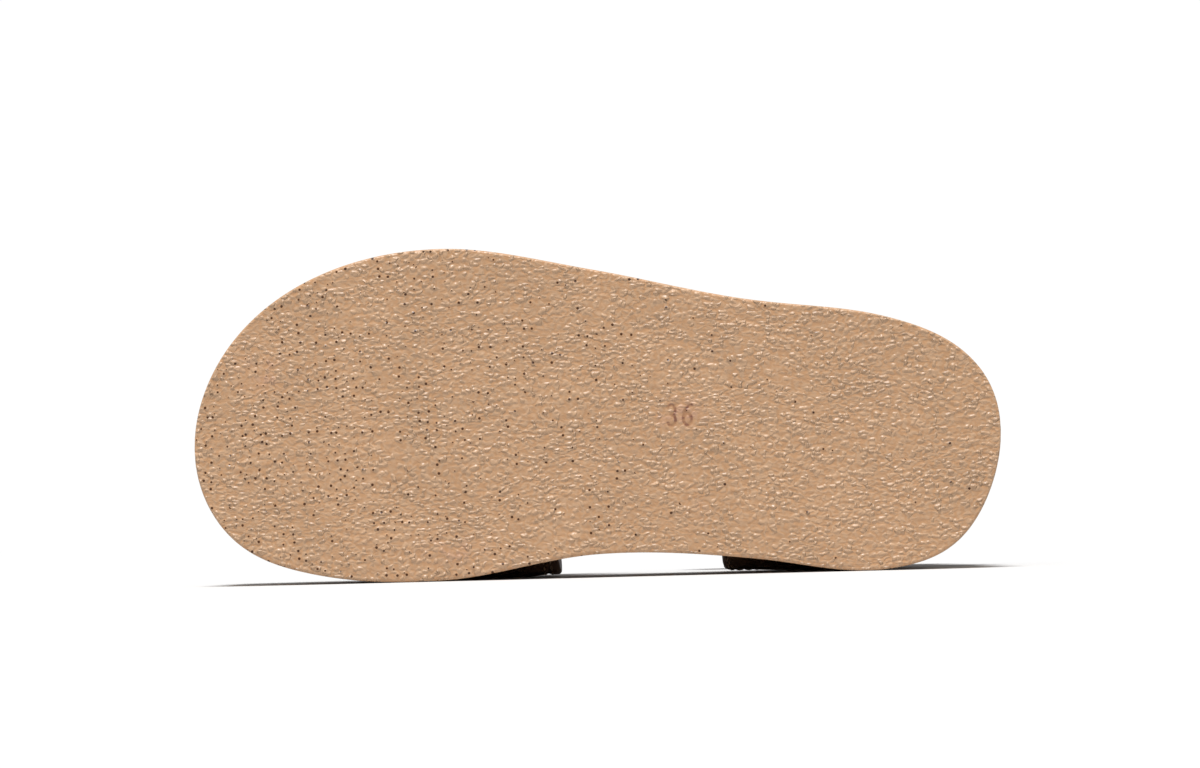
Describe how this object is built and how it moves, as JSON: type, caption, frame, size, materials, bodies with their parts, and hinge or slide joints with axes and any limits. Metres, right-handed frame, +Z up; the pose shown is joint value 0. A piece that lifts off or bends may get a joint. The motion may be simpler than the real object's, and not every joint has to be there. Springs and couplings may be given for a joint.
{
  "type": "platform sandal",
  "caption": "Left platform sandal lying on its side: thick foam sole with crinkled flat tread, wide vamp band, heel counter and ankle strap.",
  "frame": {"origin": "on the floor, under the middle of the box that the lying shoe fills", "axes": "+X from toe to heel, +Y from the tread to the top of the ankle strap, +Z up, from the medial side that it lies on to the lateral side"},
  "size_m": [0.246, 0.137, 0.1013],
  "materials": {
    "tread_foam": "matt foam with a crinkled skin",
    "side_foam": "matt cut foam",
    "sock_leather": "soft matt leather",
    "upper_leather": "semi-matt brown leather",
    "hook_tape": "woven nylon hook tape"
  },
  "bodies": {
    "root": {"outsole": "tread_foam", "midsole": "side_foam", "insole": "sock_leather", "vamp_band": "upper_leather", "heel_quarter": "upper_leather", "fastener_pad": "hook_tape"}
  },
  "joints": []
}
